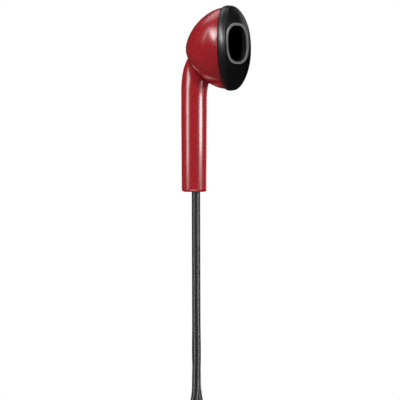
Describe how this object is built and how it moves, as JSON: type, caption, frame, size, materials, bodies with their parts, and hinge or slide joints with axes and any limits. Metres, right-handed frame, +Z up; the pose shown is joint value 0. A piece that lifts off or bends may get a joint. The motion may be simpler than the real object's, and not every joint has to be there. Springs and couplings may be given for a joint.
{
  "type": "wired earphones",
  "caption": "Pair of wired earbuds with egg-shaped red shells, black fronts with an oval sound port, straight stems, a forked cord folded into a hank, and a round audio plug.",
  "frame": {"origin": "midway between the two drivers, in the plane of the seams between red and black shells, at the height of the drivers' axes", "axes": "+X to the front, where the sound ports point, +Y towards the left earbud, +Z up along the stems as the earbuds are worn"},
  "size_m": [0.0169, 0.0378, 0.1723],
  "materials": {
    "red_gloss_plastic": "high gloss",
    "black_satin_plastic": "satin",
    "rim_grey": "satin",
    "grille_mesh": "black coated fine mesh",
    "frame_plastic": "as moulded",
    "plated_steel": "zinc plated",
    "nickel_magnet": "nickel plated",
    "surround_film": "thin film",
    "diaphragm_film": "thin film",
    "felt": "felt",
    "circuit_board": "lacquered",
    "copper": "enamelled copper wire",
    "lead_lacquer": "red lacquered copper wire",
    "black_rubber": "matt",
    "cord_jacket": "satin elastomer jacket",
    "tie_strap": "woven hook and loop",
    "plug_plastic": "satin",
    "gold_plate": "gold plated"
  },
  "bodies": {
    "headset": {"right_rear_shell": "red_gloss_plastic", "right_stem": "red_gloss_plastic", "right_front_bezel": "black_satin_plastic", "right_port_rim": "rim_grey", "right_front_grille": "grille_mesh", "right_driver_frame": "frame_plastic", "right_surround": "surround_film", "right_top_plate": "plated_steel", "right_magnet": "nickel_magnet", "right_yoke": "plated_steel", "right_damping_felt": "felt", "right_terminal_board": "circuit_board", "right_cord_bush": "black_rubber", "right_cord_crimp": "plated_steel", "right_signal_lead": "copper", "right_ground_lead": "lead_lacquer", "right_branch_cord": "cord_jacket", "right_branch_tail": "cord_jacket", "left_rear_shell": "red_gloss_plastic", "left_stem": "red_gloss_plastic", "left_front_bezel": "black_satin_plastic", "left_port_rim": "rim_grey", "left_front_grille": "grille_mesh", "left_driver_frame": "frame_plastic", "left_surround": "surround_film", "left_top_plate": "plated_steel", "left_magnet": "nickel_magnet", "left_yoke": "plated_steel", "left_damping_felt": "felt", "left_terminal_board": "circuit_board", "left_cord_bush": "black_rubber", "left_cord_crimp": "plated_steel", "left_signal_lead": "copper", "left_ground_lead": "lead_lacquer", "left_branch_cord": "cord_jacket", "left_branch_tail": "cord_jacket", "main_cord_start": "cord_jacket", "main_cord_end": "cord_jacket", "cord_hank": "cord_jacket", "hank_tie": "tie_strap", "splitter_front": "plug_plastic", "splitter_back": "plug_plastic", "plug_boot": "black_rubber", "plug_housing": "plug_plastic", "plug_sleeve": "gold_plate", "plug_ring_insulator": "black_rubber", "plug_ring": "gold_plate", "plug_tip_insulator": "black_rubber", "plug_tip": "gold_plate"},
    "right_diaphragm": {"right_dome": "diaphragm_film", "right_voice_coil": "copper"},
    "left_diaphragm": {"left_dome": "diaphragm_film", "left_voice_coil": "copper"}
  },
  "joints": [
    {"name": "right_diaphragm_travel", "type": "slide", "parent": "headset", "child": "right_diaphragm", "axis": [0.985, -0.1684, 0.0366], "range_m": [-0.00025, 0.00025], "stiffness_N_per_m": 50},
    {"name": "left_diaphragm_travel", "type": "slide", "parent": "headset", "child": "left_diaphragm", "axis": [0.985, 0.1684, 0.0366], "range_m": [-0.00025, 0.00025], "stiffness_N_per_m": 50}
  ]
}
